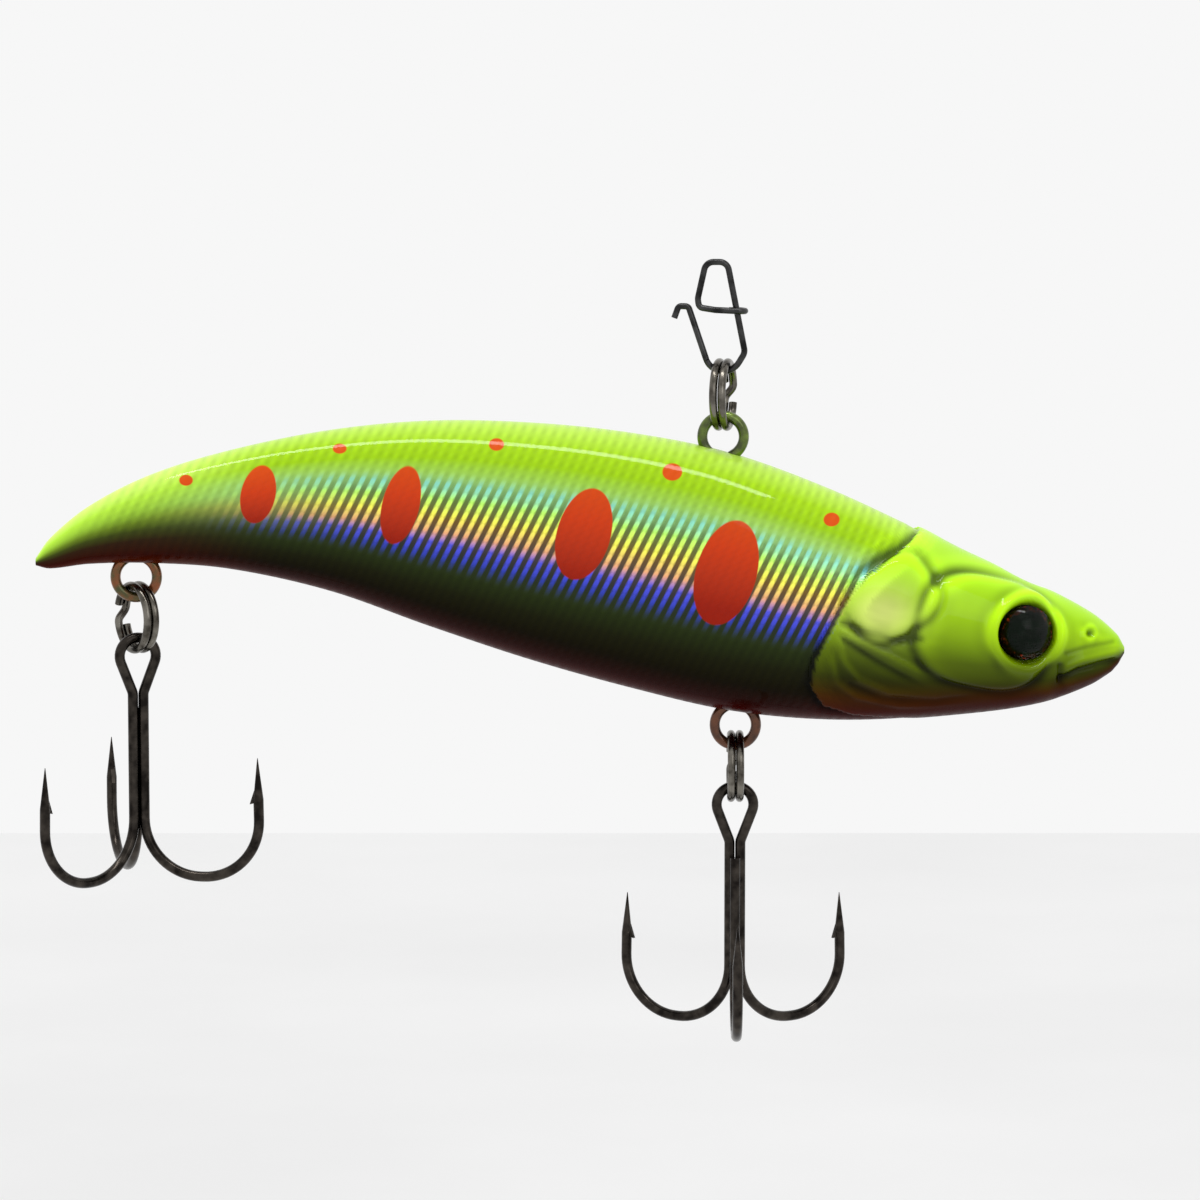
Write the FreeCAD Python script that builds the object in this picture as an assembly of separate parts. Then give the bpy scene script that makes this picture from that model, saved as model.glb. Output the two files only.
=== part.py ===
"""Lipless crankbait hanging from its snap: two moulded half shells that hold wire eyes, cast weights and
rattle balls, with split rings, two treble hooks and an open wire snap.

Millimetres. +X points to the nose, +Z is up, and Y = 0 is the parting plane of the mould. The origin is the
inner crown of the snap's line loop, where the fishing line pulls. The lure hangs from it in balance.
"""

import FreeCAD, Part
import math
import os

Vec = FreeCAD.Vector
X_AXIS = Vec(1, 0, 0)
Y_AXIS = Vec(0, 1, 0)
Z_AXIS = Vec(0, 0, 1)

# ---- Body -------------------------------------------------------------------------------------------
BODY_LENGTH = 94.7
BODY_DEPTH = 22.6
BODY_WIDTH = 13.4
WALL = 1.4
SECTION_FULLNESS = 0.85  # exponent of the cosine in a cross-section; 1 is an ellipse, less is fuller
SECTION_POINTS = 24

# Share of the length from the tail, back and belly heights as shares of the depth (0 is the back above
# the line tie), and half width as a share of half the width.
OUTLINE = [
    (0.001, -0.412, -0.440, 0.060),
    (0.014, -0.336, -0.452, 0.150),
    (0.050, -0.212, -0.434, 0.260),
    (0.106, -0.092, -0.430, 0.410),
    (0.179, 0.003, -0.452, 0.560),
    (0.271, 0.081, -0.537, 0.710),
    (0.362, 0.117, -0.673, 0.820),
    (0.454, 0.110, -0.802, 0.910),
    (0.546, 0.071, -0.911, 0.965),
    (0.638, -0.007, -1.000, 1.000),
    (0.729, -0.146, -1.035, 0.985),
    (0.821, -0.324, -1.023, 0.880),
    (0.913, -0.498, -0.980, 0.640),
    (0.968, -0.618, -0.903, 0.400),
    (0.993, -0.705, -0.828, 0.190),
    (1.000, -0.755, -0.780, 0.060),
]

# ---- Wire eyes: a loop outside, a pinched waist and an anchor loop inside -----------------------------
TIE_PLACE = 0.631  # places along the body are shares of its length, from the tail
BELLY_EYE_PLACE = 0.643
TAIL_EYE_PLACE = 0.093
EYE_WIRE = 0.9
EYE_LOOP_RADIUS = 1.8  # to the middle of the wire
EYE_STAND_OUT = 1.25  # from the body's surface to the middle of the outer loop
EYE_ANCHOR_DISTANCE = 4.4  # between the middles of the two loops
STRAND_GAP = 0.06  # between strands that lie side by side
EYE_END_GAP = 1.3  # between the wire's two ends, at the far side of the anchor loop
WIRE_FIT = 0.05  # clearance of a wire in its moulded channel
SEAM_ANGLE = 37.0  # keeps a round wire's seam line off the parting plane

# ---- Split rings -------------------------------------------------------------------------------------
RING_OUTER_DIAMETER = 6.3
RING_WIRE = 0.7
RING_COIL_GAP = 0.04
JOGGLE_HALF_ANGLE = 16.0  # degrees of the ring over which one coil steps over to the other, halved
JOGGLE_RUN = 0.5  # straight run before the joggle's bends, and their radius, as shares of the wire
JOGGLE_BEND = 1.2
LINE_RING_YAW = -12.0  # degrees from across the body
BELLY_RING_YAW = 0.0
TAIL_RING_YAW = 32.0
LINK_GAP = 0.08  # between linked wires at rest
TAIL_LINK_GAP = 0.17  # more, because the tail's ring passes slantwise through its eye

# ---- Treble hooks ------------------------------------------------------------------------------------
HOOK_WIRE = 0.9
HOOK_EYE_RADIUS = 1.6  # to the middle of the wire
HOOK_EYE_TAPER = 21.0  # degrees from the shank to the side of the eye
HOOK_EYE_KNEE_BEND = 1.1
SHANK_GAP = 0.04
HOOK_DROP = 19.3  # from the middle of the eye to the middle of the wire at the bottom of the bend
HOOK_REACH = 11.0  # from the shank axis to the middle of the point's wire
SINGLE_SHANK_TOP = 4.6  # below the middle of the eye
POINT_HEIGHT = 10.6  # from the bottom of the bend to the tip
POINT_LENGTH = 3.6  # length of the needle taper
POINT_TIP_RADIUS = 0.03
POINT_LEAN = 0.35  # how far the tip leans in to the shank
BARB_HEIGHT = 0.32
BARB_LENGTH = 1.0
BARB_THICKNESS = 0.3
BELLY_HOOK_TURN = 0.0  # degrees about the shank
TAIL_HOOK_TURN = -162.5

# ---- Snap --------------------------------------------------------------------------------------------
SNAP_WIRE = 0.55
SNAP_BEND_INNER_RADIUS = 1.3
TIE_X = 0.6  # the line tie lies a little ahead of the line loop's crown
GATE_GAP = 0.03  # between the gate's round foot and its seat

# ---- Weights, rattles and the joints between the shells ----------------------------------------------
FIT = 0.1
BOSS_WALL = 1.2
BULKHEAD = 1.0
CAVITY_TAIL_PLACE = 0.180
CAVITY_NOSE_PLACE = 0.890
HEAD_WEIGHT_HEIGHT = 9.0  # from the belly's lowest point to the weight's top
REAR_WEIGHT_HEIGHT = 8.6
REAR_WEIGHT_LENGTH = 14.0
WEIGHT_POST = 2.2
TUBE_WALL = 0.9
BACK_BALL = 5.0
BACK_TUBE_PLACES = (0.262, 0.478)
BACK_TUBE_DEPTH = 7.4  # of the tube's axis below the back, at its tail end
BACK_TUBE_SLOPE = -6.0
HEAD_BALL = 4.0
HEAD_TUBE_PLACES = (0.700, 0.862)
HEAD_TUBE_DEPTH = 5.7
HEAD_TUBE_SLOPE = -21.0
BALL_FIT = 0.15
PEG = 1.6
PEG_LENGTH = 1.3
PEG_FIT = 0.06
NOSE_PEG_PLACE = 0.948
MIDDLE_PEG_PLACE = 0.305

# ---- Fish eyes ---------------------------------------------------------------------------------------
FISH_EYE_PLACE = 0.9075
FISH_EYE_DEPTH = 15.4  # below the back above the line tie
FISH_EYE_RADIUS = 2.45
FISH_EYE_YAW = 13.0
FISH_EYE_FIT = 0.05
FISH_EYE_SEAT_DEPTH = 1.0
FISH_EYE_DISC = 0.5
FISH_EYE_DOME = 1.15


def hung_distance(loop_inner_radius, gap):
    """From the middle of a loop to the middle of a split ring's wire that bears on the loop's inside."""
    coil_offset = (RING_WIRE + RING_COIL_GAP) / 2
    reach = loop_inner_radius - RING_WIRE / 2
    return math.sqrt(reach**2 - coil_offset**2) - gap


# Places down the chain, from the snap's crown to the line tie
SNAP_LENGTH_TO_BEND = 9.17  # from the line loop's inner crown to the middle of the wire at the bend
RING_RADIUS = (RING_OUTER_DIAMETER - RING_WIRE) / 2
SNAP_BEND_RADIUS = SNAP_BEND_INNER_RADIUS + SNAP_WIRE / 2
SNAP_BEND_Z = SNAP_BEND_RADIUS - SNAP_LENGTH_TO_BEND
EYE_INNER_RADIUS = EYE_LOOP_RADIUS - EYE_WIRE / 2
HOOK_EYE_INNER_RADIUS = HOOK_EYE_RADIUS - HOOK_WIRE / 2
LINE_RING_Z = SNAP_BEND_Z - hung_distance(SNAP_BEND_INNER_RADIUS, LINK_GAP) - RING_RADIUS
TIE_Z = LINE_RING_Z - RING_RADIUS - hung_distance(EYE_INNER_RADIUS, LINK_GAP)


def smooth_value(place, column):
    """A column of OUTLINE at a place along the body, by cubic pieces through the rows."""
    rows = [(row[0], row[column]) for row in OUTLINE]

    def slope(i):
        low = max(i - 1, 0)
        high = min(i + 1, len(rows) - 1)
        return (rows[high][1] - rows[low][1]) / (rows[high][0] - rows[low][0])

    i = next(k for k in range(len(rows) - 1) if place <= rows[k + 1][0] or k == len(rows) - 2)
    span = rows[i + 1][0] - rows[i][0]
    t = (place - rows[i][0]) / span
    return (
        (2 * t**3 - 3 * t**2 + 1) * rows[i][1]
        + (t**3 - 2 * t**2 + t) * span * slope(i)
        + (3 * t**2 - 2 * t**3) * rows[i + 1][1]
        + (t**3 - t**2) * span * slope(i + 1)
    )


def body_x(place):
    return TIE_X + (place - TIE_PLACE) * BODY_LENGTH


def body_z(share):
    return TIE_Z - EYE_STAND_OUT + (share - smooth_value(TIE_PLACE, 1)) * BODY_DEPTH


def back_z(place):
    return body_z(smooth_value(place, 1))


def belly_z(place):
    return body_z(smooth_value(place, 2))


def half_width(place):
    return smooth_value(place, 3) * BODY_WIDTH / 2


def side_y(place, z):
    """How far the body's side stands from the parting plane at a place and height."""
    middle = (back_z(place) + belly_z(place)) / 2
    half = (back_z(place) - belly_z(place)) / 2
    return half_width(place) * (1 - ((z - middle) / half) ** 2) ** (SECTION_FULLNESS / 2)


# Places on the body
BELLY_EYE_X = body_x(BELLY_EYE_PLACE)
BELLY_EYE_Z = belly_z(BELLY_EYE_PLACE) - EYE_STAND_OUT
TAIL_EYE_X = body_x(TAIL_EYE_PLACE)
TAIL_EYE_Z = belly_z(TAIL_EYE_PLACE) - EYE_STAND_OUT
BELLY_RING_Z = BELLY_EYE_Z - hung_distance(EYE_INNER_RADIUS, LINK_GAP) - RING_RADIUS
TAIL_RING_Z = TAIL_EYE_Z - hung_distance(EYE_INNER_RADIUS, TAIL_LINK_GAP) - RING_RADIUS
BELLY_HOOK_Z = BELLY_RING_Z - RING_RADIUS - hung_distance(HOOK_EYE_INNER_RADIUS, LINK_GAP)
TAIL_HOOK_Z = TAIL_RING_Z - RING_RADIUS - hung_distance(HOOK_EYE_INNER_RADIUS, TAIL_LINK_GAP)


# ---- Shared shapes -----------------------------------------------------------------------------------
def box(x0, x1, y0, y1, z0, z1):
    return Part.makeBox(x1 - x0, y1 - y0, z1 - z0, Vec(x0, y0, z0))


def corner_arc(before, corner, after, radius):
    """The points where a tangent arc of that radius starts, passes its middle and ends at a corner."""
    back = (before - corner).normalize()
    on = (after - corner).normalize()
    inside = back.getAngle(on)
    tangent = radius / math.tan(inside / 2)
    bisector = (back + on).normalize()
    centre = corner + bisector * (radius / math.sin(inside / 2))
    return corner + back * tangent, centre - bisector * radius, corner + on * tangent


def bent_path(points, bends):
    """Straight runs joined by tangent arcs: bends holds the radius at each inner point."""
    edges = []
    at = points[0]
    for i, radius in enumerate(bends, start=1):
        start, middle, end = corner_arc(points[i - 1], points[i], points[i + 1], radius)
        if at.distanceToPoint(start) > 1e-4:
            edges.append(Part.LineSegment(at, start).toShape())
            at = start
        edges.append(Part.Arc(at, middle, end).toShape())
        at = end
    if at.distanceToPoint(points[-1]) > 1e-4:
        edges.append(Part.LineSegment(at, points[-1]).toShape())
    return Part.Wire(edges)


def sweep_round(path, radius):
    """A round wire along a path."""
    first = path.OrderedEdges[0]
    start = first.valueAt(first.FirstParameter)
    direction = first.tangentAt(first.FirstParameter)
    if path.OrderedVertexes[0].Point.distanceToPoint(start) > 1e-6:
        start = first.valueAt(first.LastParameter)
        direction = first.tangentAt(first.LastParameter) * -1
    profile = Part.Wire([Part.Circle(start, direction, radius).toShape()])
    profile.rotate(start, direction, SEAM_ANGLE)
    return Part.Solid(path.makePipeShell([profile], True, False))


def turned(shape, angle, axis=Z_AXIS, about=None):
    copy = shape.copy()
    copy.rotate(about or Vec(0, 0, 0), axis, angle)
    return copy


def moved(shape, x, y, z):
    copy = shape.copy()
    copy.translate(Vec(x, y, z))
    return copy


# ---- Wire eyes ---------------------------------------------------------------------------------------
def waist_turn():
    """Half the distance between the strands at the waist, and the angle of the point where a loop turns
    into the waist, from the horizontal."""
    strand = (EYE_WIRE + STRAND_GAP) / 2
    half = EYE_ANCHOR_DISTANCE / 2
    waist = (strand**2 + half**2 - EYE_LOOP_RADIUS**2) / (2 * (EYE_LOOP_RADIUS - strand))
    return strand, math.atan2(half, strand + waist)


def wire_eye(name):
    """A wire bent to two loops with a pinched waist: the outer loop and the anchor between the shells."""
    r = EYE_LOOP_RADIUS
    d = EYE_ANCHOR_DISTANCE
    strand, turn = waist_turn()

    def on_outer(angle):
        return Vec(r * math.cos(angle), 0, r * math.sin(angle))

    def on_anchor(angle):
        return Vec(r * math.cos(angle), 0, -d + r * math.sin(angle))

    end = math.asin(EYE_END_GAP / 2 / r)
    left_tangent = math.pi + turn
    waist_angle = math.pi - turn
    arcs = [
        (on_anchor(1.5 * math.pi - end), on_anchor(1.15 * math.pi), on_anchor(waist_angle)),
        (on_anchor(waist_angle), Vec(-strand, 0, -d / 2), on_outer(left_tangent)),
        (on_outer(left_tangent), on_outer(math.pi / 2), on_outer(-turn)),
        (on_outer(-turn), Vec(strand, 0, -d / 2), on_anchor(turn)),
        (on_anchor(turn), on_anchor(-0.15 * math.pi), on_anchor(-math.pi / 2 + end)),
    ]
    path = Part.Wire([Part.Arc(*arc).toShape() for arc in arcs])
    eye = sweep_round(path, EYE_WIRE / 2)
    x, z, anchor_side = EYE_PLACES[name]
    return moved(eye if anchor_side < 0 else turned(eye, 180, Y_AXIS), x, 0, z)


EYE_PLACES = {
    "line_tie_eye": (TIE_X, TIE_Z, -1),
    "belly_eye": (BELLY_EYE_X, BELLY_EYE_Z, 1),
    "tail_eye": (TAIL_EYE_X, TAIL_EYE_Z, 1),
}


def wire_eye_channel(name):
    """Square-bottomed tools for the groove that holds a wire eye between the shells."""
    x, z, anchor_side = EYE_PLACES[name]
    depth = EYE_WIRE / 2 + WIRE_FIT
    outer = EYE_LOOP_RADIUS + depth
    inner = EYE_LOOP_RADIUS - depth
    cores = ((z, EYE_STAND_OUT - 2 * WIRE_FIT), (z + anchor_side * EYE_ANCHOR_DISTANCE, inner))
    tools = []
    for middle, core in cores:
        at = Vec(x, -depth, middle)
        loop, left = [Part.makeCylinder(r, 2 * depth, at, Y_AXIS) for r in (outer, core)]
        tools.append(loop.cut(left))
    ends = (z + anchor_side * (inner + WIRE_FIT), z + anchor_side * (EYE_ANCHOR_DISTANCE - inner - WIRE_FIT))
    half = outer * math.cos(waist_turn()[1])
    tools.append(box(x - half, x + half, -depth, depth, min(ends), max(ends)))
    return tools


# ---- Body shells -------------------------------------------------------------------------------------
def body_section(row, inset):
    """The closed outline of the body at one row of OUTLINE, inset from the surface."""
    place, back, belly, width = row
    top = body_z(back) - inset
    bottom = body_z(belly) + inset
    half = width * BODY_WIDTH / 2 - inset
    points = []
    for k in range(SECTION_POINTS):
        angle = 2 * math.pi * k / SECTION_POINTS - math.pi / 2
        side = math.copysign(abs(math.cos(angle)) ** SECTION_FULLNESS, math.cos(angle))
        if abs(math.cos(angle)) < 1e-9:
            side = 0
        z = (top + bottom) / 2 + (top - bottom) / 2 * math.sin(angle)
        points.append(Vec(body_x(place), half * side, z))
    curve = Part.BSplineCurve()
    curve.interpolate(Points=points, PeriodicFlag=True, Parameters=list(range(SECTION_POINTS + 1)))
    return Part.Wire([curve.toShape()])


def body_solid():
    return Part.makeLoft([body_section(row, 0) for row in OUTLINE], True, False)


def inner_solid(inset, x0, x1, z0, z1):
    """The body's inside, inset from the surface and clipped to a box."""
    rows = [row for row in OUTLINE if body_x(row[0]) > x0 - 0.1 * BODY_LENGTH]
    rows = [row for row in rows if body_x(row[0]) < x1 + 0.06 * BODY_LENGTH]
    loft = Part.makeLoft([body_section(row, inset) for row in rows], True, False)
    return loft.common(box(x0, x1, -BODY_WIDTH, BODY_WIDTH, z0, z1))


CAVITY_X = (body_x(CAVITY_TAIL_PLACE), body_x(CAVITY_NOSE_PLACE))
BODY_Z = (body_z(-1.2), body_z(0.3))
BOSS_HALF = EYE_LOOP_RADIUS + EYE_WIRE / 2 + BOSS_WALL
BOSS_END = EYE_ANCHOR_DISTANCE + BOSS_HALF
LOWEST_BELLY_Z = min(body_z(row[2]) for row in OUTLINE)

HEAD_WEIGHT_X = (BELLY_EYE_X + BOSS_HALF + FIT, CAVITY_X[1] - FIT)
HEAD_WEIGHT_TOP = LOWEST_BELLY_Z + HEAD_WEIGHT_HEIGHT
REAR_WEIGHT_X = (BELLY_EYE_X - BOSS_HALF - FIT - REAR_WEIGHT_LENGTH, BELLY_EYE_X - BOSS_HALF - FIT)
REAR_WEIGHT_TOP = LOWEST_BELLY_Z + REAR_WEIGHT_HEIGHT


def tube_axis(places, depth, slope):
    """The tail end, the unit direction to the nose and the length of a rattle tube."""
    start = Vec(body_x(places[0]), 0, back_z(places[0]) - depth)
    direction = Vec(math.cos(math.radians(slope)), 0, math.sin(math.radians(slope)))
    return start, direction, (places[1] - places[0]) * BODY_LENGTH / direction.x


TUBES = {
    "back_rattle_ball": (tube_axis(BACK_TUBE_PLACES, BACK_TUBE_DEPTH, BACK_TUBE_SLOPE), BACK_BALL),
    "head_rattle_ball": (tube_axis(HEAD_TUBE_PLACES, HEAD_TUBE_DEPTH, HEAD_TUBE_SLOPE), HEAD_BALL),
}


def tube_bore(axis, ball):
    start, direction, length = axis
    return Part.makeCylinder(ball / 2 + BALL_FIT, length, start, direction)


def tube_body(axis, ball):
    start, direction, length = axis
    return Part.makeCylinder(
        ball / 2 + BALL_FIT + TUBE_WALL, length + 2 * BULKHEAD, start - direction * BULKHEAD, direction
    )


def ball_travel(name):
    """How far a rattle ball rolls from the nose end of its tube, where it rests, to the tail end."""
    (_, _, length), ball = TUBES[name]
    return length - ball - 2 * BALL_FIT


def rattle_ball(name):
    (start, direction, length), ball = TUBES[name]
    return Part.makeSphere(ball / 2, start + direction * (length - ball / 2 - BALL_FIT))


def peg_places():
    """Where the left shell's pegs enter the right shell: in the anchor loops, the nose and the middle."""
    places = [
        (x, z + side * EYE_ANCHOR_DISTANCE) for x, z, side in EYE_PLACES.values()
    ]
    for place, share in ((NOSE_PEG_PLACE, 0.55), (MIDDLE_PEG_PLACE, 0.22)):
        height = belly_z(place) + share * (back_z(place) - belly_z(place))
        places.append((body_x(place), height))
    return places


def across(radius, x, z):
    """A cylinder that crosses the whole body."""
    return Part.makeCylinder(radius, 2 * BODY_WIDTH, Vec(x, -BODY_WIDTH, z), Y_AXIS)


def weight_post_places():
    """Where a post crosses each weight and holds it."""
    places = []
    for x_range, top in ((HEAD_WEIGHT_X, HEAD_WEIGHT_TOP), (REAR_WEIGHT_X, REAR_WEIGHT_TOP)):
        x = sum(x_range) / 2
        place = TIE_PLACE + (x - TIE_X) / BODY_LENGTH
        places.append((x, (top + belly_z(place) + WALL) / 2))
    return places


def solid_parts_of_cavity():
    """Everything moulded inside the shells' cavity: eye bosses, bulkheads, tubes, posts and peg bosses."""
    wide = BODY_WIDTH
    parts = []
    for x, z, side in list(EYE_PLACES.values())[:2]:
        z0, z1 = sorted((z, z + side * BOSS_END))
        parts.append(box(x - BOSS_HALF, x + BOSS_HALF, -wide, wide, z0, z1))
    for axis, ball in TUBES.values():
        start, direction, length = axis
        parts.append(tube_body(axis, ball))
        for x in (start.x - BULKHEAD, start.x + direction.x * length):
            lowest = (REAR_WEIGHT_TOP if x < BELLY_EYE_X - BOSS_HALF else HEAD_WEIGHT_TOP) + FIT
            parts.append(box(x, x + BULKHEAD, -wide, wide, lowest, BODY_Z[1]))
    for x, z in weight_post_places():
        parts.append(across(WEIGHT_POST / 2, x, z))
    for x, z in peg_places()[3:]:
        parts.append(across(PEG / 2 + BOSS_WALL, x, z))
    return parts


def fish_eye_centre(side):
    """On the body's surface, and the direction in which the eye looks."""
    z = body_z(0) - FISH_EYE_DEPTH
    centre = Vec(body_x(FISH_EYE_PLACE), side * side_y(FISH_EYE_PLACE, z), z)
    yaw = math.radians(FISH_EYE_YAW)
    return centre, Vec(math.sin(yaw), side * math.cos(yaw), 0)


def fish_eye_socket(side):
    centre, out = fish_eye_centre(side)
    return Part.makeCylinder(FISH_EYE_RADIUS, 2 * FISH_EYE_RADIUS, centre - out * FISH_EYE_SEAT_DEPTH, out)


def cavity():
    """The shells' hollow, less everything moulded inside it."""
    hollow = inner_solid(WALL, *CAVITY_X, *BODY_Z)
    for part in solid_parts_of_cavity():
        hollow = hollow.cut(part)
    return hollow


def half_shell(body, hollow, side):
    """One moulded half with the channels for the wire eyes; pegs on the left half, holes in the right."""
    y0, y1 = (0, BODY_WIDTH) if side > 0 else (-BODY_WIDTH, 0)
    shell = body.common(box(body_x(-0.1), body_x(1.1), y0, y1, *BODY_Z))
    tools = [hollow]
    for name in EYE_PLACES:
        tools += wire_eye_channel(name)
    tools += [tube_bore(axis, ball) for axis, ball in TUBES.values()]
    tools.append(fish_eye_socket(side))
    if side < 0:
        depth = PEG_LENGTH + PEG_FIT
        for x, z in peg_places():
            tools.append(Part.makeCylinder(PEG / 2 + PEG_FIT, depth, Vec(x, -depth, z), Y_AXIS))
    for tool in tools:
        shell = shell.cut(tool)
    if side > 0:
        for x, z in peg_places():
            shell = shell.fuse(Part.makeCylinder(PEG / 2, 2 * PEG_LENGTH, Vec(x, -PEG_LENGTH, z), Y_AXIS))
    return shell


def weight(x_range, top):
    """A cast weight that follows the belly's inside, with a hole for its post."""
    casting = inner_solid(WALL + FIT, *x_range, BODY_Z[0], top)
    for x, z in weight_post_places():
        casting = casting.cut(across(WEIGHT_POST / 2 + FIT, x, z))
    for axis, ball in TUBES.values():
        casting = casting.cut(tube_body(axis, ball + 2 * FIT))
    return casting


def fish_eye_disc(side):
    centre, out = fish_eye_centre(side)
    seat = centre - out * FISH_EYE_SEAT_DEPTH
    return Part.makeCylinder(FISH_EYE_RADIUS - FISH_EYE_FIT, FISH_EYE_DISC, seat, out)


def fish_eye_lens(side):
    """A clear dome on the disc."""
    radius = FISH_EYE_RADIUS - FISH_EYE_FIT
    sphere = (radius**2 + FISH_EYE_DOME**2) / (2 * FISH_EYE_DOME)
    halfway = math.asin(radius / sphere) / 2
    rim, crown = Vec(radius, 0, 0), Vec(0, 0, FISH_EYE_DOME)
    middle = Vec(sphere * math.sin(halfway), 0, FISH_EYE_DOME - sphere * (1 - math.cos(halfway)))
    edges = [
        Part.LineSegment(Vec(0, 0, 0), rim).toShape(),
        Part.Arc(rim, middle, crown).toShape(),
        Part.LineSegment(crown, Vec(0, 0, 0)).toShape(),
    ]
    dome = Part.Face(Part.Wire(edges)).revolve(Vec(0, 0, 0), Z_AXIS, 360)
    centre, out = fish_eye_centre(side)
    seat = centre - out * (FISH_EYE_SEAT_DEPTH - FISH_EYE_DISC)
    dome.Placement = FreeCAD.Placement(seat, FreeCAD.Rotation(Z_AXIS, out))
    return dome


# ---- Split rings -------------------------------------------------------------------------------------
def split_ring():
    """Two turns of wire side by side, joined by a short joggle. The ring's axis is Z, and the joggle and
    the two free ends lie around +X."""
    pitch = RING_WIRE + RING_COIL_GAP
    bend = math.radians(JOGGLE_HALF_ANGLE)
    end = bend + math.radians(3)

    def at(angle, z):
        return Vec(RING_RADIUS * math.cos(angle), RING_RADIUS * math.sin(angle), z)

    low, high = -pitch / 2, pitch / 2
    first = Part.Arc(at(end, low), at(math.pi, low), at(-bend, low)).toShape()
    run = JOGGLE_RUN * RING_WIRE
    before = at(-bend, low) + Vec(math.sin(bend), math.cos(bend), 0) * run
    after = at(bend, high) - Vec(-math.sin(bend), math.cos(bend), 0) * run
    joggle = bent_path([at(-bend, low), before, after, at(bend, high)], [JOGGLE_BEND * RING_WIRE] * 2)
    second = Part.Arc(at(bend, high), at(math.pi, high), at(-end, high)).toShape()
    return sweep_round(Part.Wire([first] + joggle.OrderedEdges + [second]), RING_WIRE / 2)


def hung_ring(x, z, yaw):
    """A split ring that hangs on edge across the body, turned by yaw, with its joggle at the side."""
    ring = turned(split_ring(), 90, Y_AXIS)
    ring = turned(ring, 90, X_AXIS)
    return moved(turned(ring, yaw), x, 0, z)


# ---- Treble hooks, about the middle of their eye -----------------------------------------------------
SHANK_OFFSET = (HOOK_WIRE + SHANK_GAP) / math.sqrt(3)  # of each of the three shanks from the axis
BEND_RADIUS = (HOOK_REACH - SHANK_OFFSET) / 2 - 0.2


def in_prong_plane(azimuth, radius, z):
    angle = math.radians(azimuth)
    return Vec(radius * math.cos(angle), radius * math.sin(angle), z)


def prong_points(azimuth):
    """Corners from the shank to where the needle taper starts."""
    tip = -HOOK_DROP + POINT_HEIGHT
    run = POINT_HEIGHT - BEND_RADIUS
    share = (run - POINT_LENGTH) / run
    return [
        in_prong_plane(azimuth, SHANK_OFFSET, -HOOK_DROP),
        in_prong_plane(azimuth, HOOK_REACH, -HOOK_DROP),
        in_prong_plane(azimuth, HOOK_REACH - POINT_LEAN * share, tip - POINT_LENGTH),
    ]


def needle(azimuth):
    """The ground point, with a small barb on its inner side."""
    corner, base = prong_points(azimuth)[1:]
    along = (base - corner).normalize()
    cone = Part.makeCone(HOOK_WIRE / 2, POINT_TIP_RADIUS, POINT_LENGTH, base, along)
    inwards = in_prong_plane(azimuth, -1, 0)
    across_prong = along.cross(inwards).normalize()
    foot = base - along * 0.25 * BARB_LENGTH
    profile = [
        foot,
        foot + inwards * (HOOK_WIRE / 2 + BARB_HEIGHT) - along * 0.2 * BARB_LENGTH,
        foot + inwards * (HOOK_WIRE / 2 - 0.1) + along * BARB_LENGTH,
        foot + along * BARB_LENGTH,
    ]
    profile = [p - across_prong * (BARB_THICKNESS / 2) for p in profile]
    barb = Part.Face(Part.makePolygon(profile + profile[:1])).extrude(across_prong * BARB_THICKNESS)
    return cone, barb


def sharpened(wire, azimuths):
    for azimuth in azimuths:
        for tool in needle(azimuth):
            wire = wire.fuse(tool)
    return wire.removeSplitter()


def double_hook():
    """One wire: a point, a shank, the eye, the second shank and its point."""
    taper = math.radians(HOOK_EYE_TAPER)
    side = SHANK_OFFSET * math.cos(math.radians(30))
    depth = SHANK_OFFSET * math.sin(math.radians(30))
    r = HOOK_EYE_RADIUS
    knee_z = -r * math.sin(taper) - (r * math.cos(taper) - side) / math.tan(taper)
    crown_x = side + (r - knee_z) * math.tan(taper)
    right = prong_points(30)
    left = prong_points(150)
    points = left[::-1] + [
        Vec(-side, depth, knee_z),
        Vec(-crown_x, depth, r),
        Vec(crown_x, depth, r),
        Vec(side, depth, knee_z),
    ]
    points += right
    bends = [BEND_RADIUS] * 2 + [HOOK_EYE_KNEE_BEND, r, r, HOOK_EYE_KNEE_BEND] + [BEND_RADIUS] * 2
    return sharpened(sweep_round(bent_path(points, bends), HOOK_WIRE / 2), (30, 150))


def single_hook():
    """The third hook, brazed to the other two shanks."""
    points = [in_prong_plane(-90, SHANK_OFFSET, -SINGLE_SHANK_TOP)] + prong_points(-90)
    return sharpened(sweep_round(bent_path(points, [BEND_RADIUS] * 2), HOOK_WIRE / 2), (-90,))


def hung_hook(shape, x, z, turn):
    return moved(turned(shape, turn), x, 0, z)


# ---- Snap --------------------------------------------------------------------------------------------
SNAP_CROWN = SNAP_WIRE / 2  # height of the wire's middle above the crown's inside
CROWN_RADIUS = 0.9
GATE_RISE = Vec(-0.321, 0, 0.947).normalize()
LEG_FALL = Vec(-0.515, 0, -0.857).normalize()
CLASP_Z = -3.95
CLASP_LIFT = SNAP_WIRE + 0.08


def bend_corner():
    """The corner that the snap's lower bend rounds, and the point where the bend ends at the gate."""
    centre = Vec(TIE_X, 0, SNAP_BEND_Z)
    inside = (LEG_FALL * -1).getAngle(GATE_RISE)
    bisector = (LEG_FALL * -1 + GATE_RISE).normalize()
    corner = centre - bisector * (SNAP_BEND_RADIUS / math.sin(inside / 2))
    return corner, corner + GATE_RISE * (SNAP_BEND_RADIUS / math.tan(inside / 2))


GATE_PIVOT = bend_corner()[1]


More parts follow.
